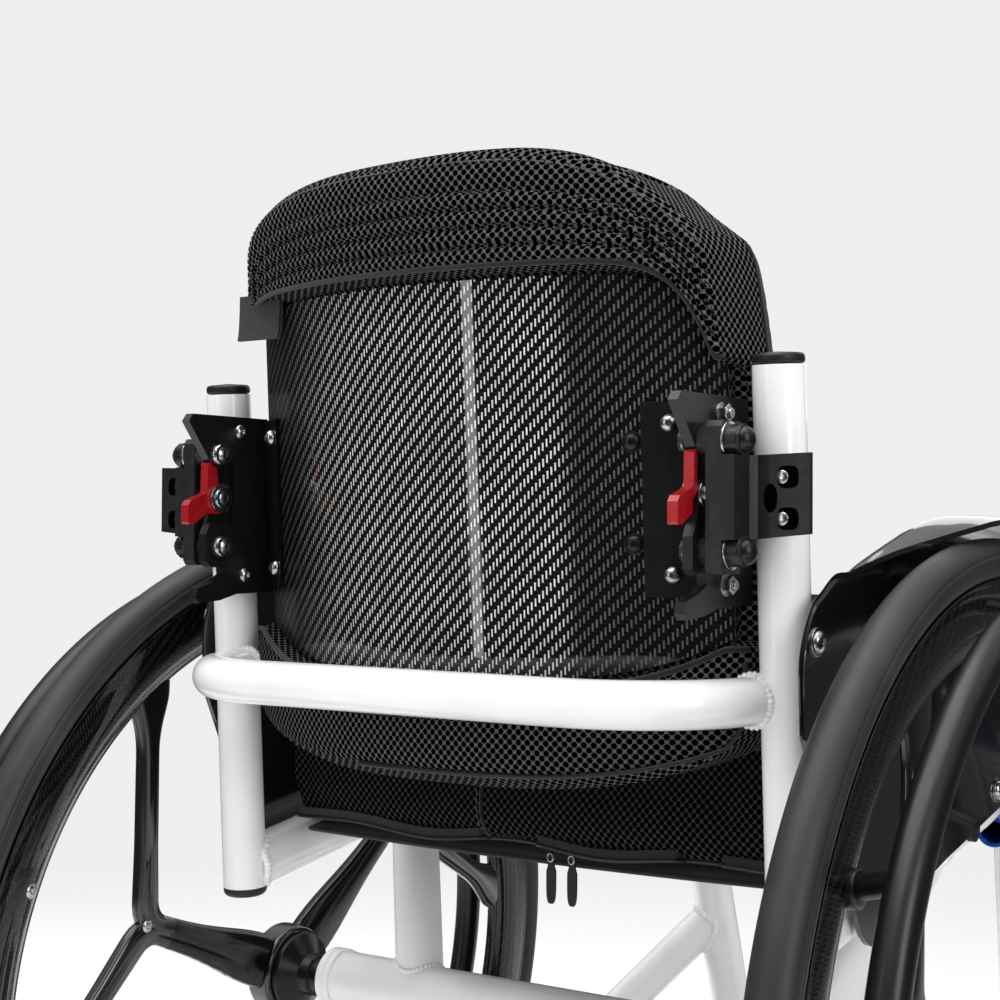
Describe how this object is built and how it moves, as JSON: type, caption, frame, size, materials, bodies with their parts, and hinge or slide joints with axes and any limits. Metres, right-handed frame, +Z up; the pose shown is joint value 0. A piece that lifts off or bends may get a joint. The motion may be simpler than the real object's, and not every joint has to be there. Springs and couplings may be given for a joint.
{
  "type": "wheelchair",
  "caption": "Rigid ultralight wheelchair with carbon spoke wheels, a carbon shell backrest, padded cushion, side guards, casters and a footplate.",
  "frame": {"origin": "on the floor, in the middle of the chair's length and width", "axes": "+X to the chair's left, -Y the way the chair faces, +Z up"},
  "size_m": [0.6446, 0.8176, 0.8139],
  "materials": {
    "black_anodised": "black anodised, satin",
    "black_hub_alloy": "black anodised, fine turned",
    "black_plastic": "moulded black plastic, matte",
    "blue_anodised": "blue anodised, polished",
    "bright_steel": "bright machined steel",
    "dark_tyre": "dark grey tyre rubber, two moulded lines each side",
    "gloss_black": "gloss black, polished",
    "gloss_carbon": "gloss carbon twill under clear lacquer",
    "red_anodised": "red anodised",
    "seat_webbing": "black woven webbing",
    "spacer_mesh": "black three-layer spacer mesh",
    "white_gloss_paint": "white gloss powder coat"
  },
  "bodies": {
    "frame": {"axle_left": "bright_steel", "axle_post_left": "white_gloss_paint", "axle_post_right": "white_gloss_paint", "axle_right": "bright_steel", "back_cane_left": "white_gloss_paint", "back_cane_right": "white_gloss_paint", "back_pad": "spacer_mesh", "back_shell": "gloss_carbon", "camber_plug_left": "white_gloss_paint", "camber_plug_right": "white_gloss_paint", "camber_tube": "white_gloss_paint", "cane_bracket_left": "black_anodised", "cane_bracket_right": "black_anodised", "cane_cap_left": "black_plastic", "cane_cap_right": "black_plastic", "cane_plug_left": "black_plastic", "cane_plug_right": "black_plastic", "cane_saddle_left": "black_anodised", "cane_saddle_right": "black_anodised", "caster_arm_left": "white_gloss_paint", "caster_arm_right": "white_gloss_paint", "foot_tube": "black_anodised", "footplate": "black_plastic", "lock_bracket_left": "black_anodised", "lock_bracket_right": "black_anodised", "push_bar": "white_gloss_paint", "seat_cushion": "spacer_mesh", "seat_rail_left": "white_gloss_paint", "seat_rail_right": "white_gloss_paint", "seat_sling": "seat_webbing", "shell_bracket_left": "black_anodised", "shell_bracket_right": "black_anodised", "side_guard_left": "gloss_black", "side_guard_right": "gloss_black"},
    "rear_wheel_left": {"rear_tyre_left": "dark_tyre", "carbon_wheel_left": "gloss_carbon", "wheel_hub_left": "black_hub_alloy", "handrim_left": "black_anodised"},
    "caster_swivel_left": {"caster_fork_left": "black_anodised", "caster_axle_left": "bright_steel"},
    "caster_wheel_left": {"caster_tyre_left": "dark_tyre", "caster_core_left": "black_plastic"},
    "wheel_lock_left": {"lock_bar_left": "blue_anodised", "lock_handle_left": "black_plastic"},
    "axle_release_left": {"axle_button_left": "bright_steel"},
    "backrest_release_left": {"release_lever_left": "red_anodised"},
    "rear_wheel_right": {"rear_tyre_right": "dark_tyre", "carbon_wheel_right": "gloss_carbon", "wheel_hub_right": "black_hub_alloy", "handrim_right": "black_anodised"},
    "caster_swivel_right": {"caster_fork_right": "black_anodised", "caster_axle_right": "bright_steel"},
    "caster_wheel_right": {"caster_tyre_right": "dark_tyre", "caster_core_right": "black_plastic"},
    "wheel_lock_right": {"lock_bar_right": "blue_anodised", "lock_handle_right": "black_plastic"},
    "axle_release_right": {"axle_button_right": "bright_steel"},
    "backrest_release_right": {"release_lever_right": "red_anodised"},
    "cushion_zip_inner": {"zip_pull_inner": "black_anodised"},
    "cushion_zip_outer": {"zip_pull_outer": "black_anodised"}
  },
  "joints": [
    {"name": "rear_wheel_spin_left", "type": "hinge", "parent": "frame", "child": "rear_wheel_left", "pos_m": [0.26, 0.10475, 0.30431], "axis": [0.9994, 0, 0.0349], "continuous": true},
    {"name": "caster_swivel_turn_left", "type": "hinge", "parent": "frame", "child": "caster_swivel_left", "pos_m": [0.226, -0.21725, 0.1505], "axis": [0, 0, 1], "continuous": true},
    {"name": "caster_wheel_spin_left", "type": "hinge", "parent": "caster_swivel_left", "child": "caster_wheel_left", "pos_m": [0.226, -0.18125, 0.0635], "axis": [1, 0, 0], "continuous": true},
    {"name": "wheel_lock_swing_left", "type": "hinge", "parent": "frame", "child": "wheel_lock_left", "pos_m": [0.14575, -0.20725, 0.43412], "axis": [0, -0.1736, -0.9848], "range_deg": [0, 41]},
    {"name": "axle_button_press_left", "type": "slide", "parent": "frame", "child": "axle_release_left", "axis": [-0.9994, 0, -0.0349], "range_m": [0, 0.004], "stiffness_N_per_m": 400},
    {"name": "release_lever_turn_left", "type": "hinge", "parent": "frame", "child": "backrest_release_left", "pos_m": [0.1647, 0.27775, 0.63], "axis": [-1, 0, 0], "range_deg": [0, 18], "stiffness_Nm_per_rad": 0.25},
    {"name": "rear_wheel_spin_right", "type": "hinge", "parent": "frame", "child": "rear_wheel_right", "pos_m": [-0.26, 0.10475, 0.30431], "axis": [-0.9994, 0, 0.0349], "continuous": true},
    {"name": "caster_swivel_turn_right", "type": "hinge", "parent": "frame", "child": "caster_swivel_right", "pos_m": [-0.226, -0.21725, 0.1505], "axis": [0, 0, 1], "continuous": true},
    {"name": "caster_wheel_spin_right", "type": "hinge", "parent": "caster_swivel_right", "child": "caster_wheel_right", "pos_m": [-0.226, -0.18125, 0.0635], "axis": [1, 0, 0], "continuous": true},
    {"name": "wheel_lock_swing_right", "type": "hinge", "parent": "frame", "child": "wheel_lock_right", "pos_m": [-0.14575, -0.20725, 0.43412], "axis": [0, 0.1736, 0.9848], "range_deg": [0, 41]},
    {"name": "axle_button_press_right", "type": "slide", "parent": "frame", "child": "axle_release_right", "axis": [0.9994, 0, -0.0349], "range_m": [0, 0.004], "stiffness_N_per_m": 400},
    {"name": "release_lever_turn_right", "type": "hinge", "parent": "frame", "child": "backrest_release_right", "pos_m": [-0.1647, 0.27775, 0.63], "axis": [-1, 0, 0], "range_deg": [0, 18], "stiffness_Nm_per_rad": 0.25},
    {"name": "zip_pull_swing_inner", "type": "hinge", "parent": "frame", "child": "cushion_zip_inner", "pos_m": [-0.0166, 0.1859, 0.42294], "axis": [1, 0, 0], "range_deg": [-5, 40]},
    {"name": "zip_pull_swing_outer", "type": "hinge", "parent": "frame", "child": "cushion_zip_outer", "pos_m": [-0.0311, 0.1859, 0.42294], "axis": [1, 0, 0], "range_deg": [-5, 40]}
  ]
}
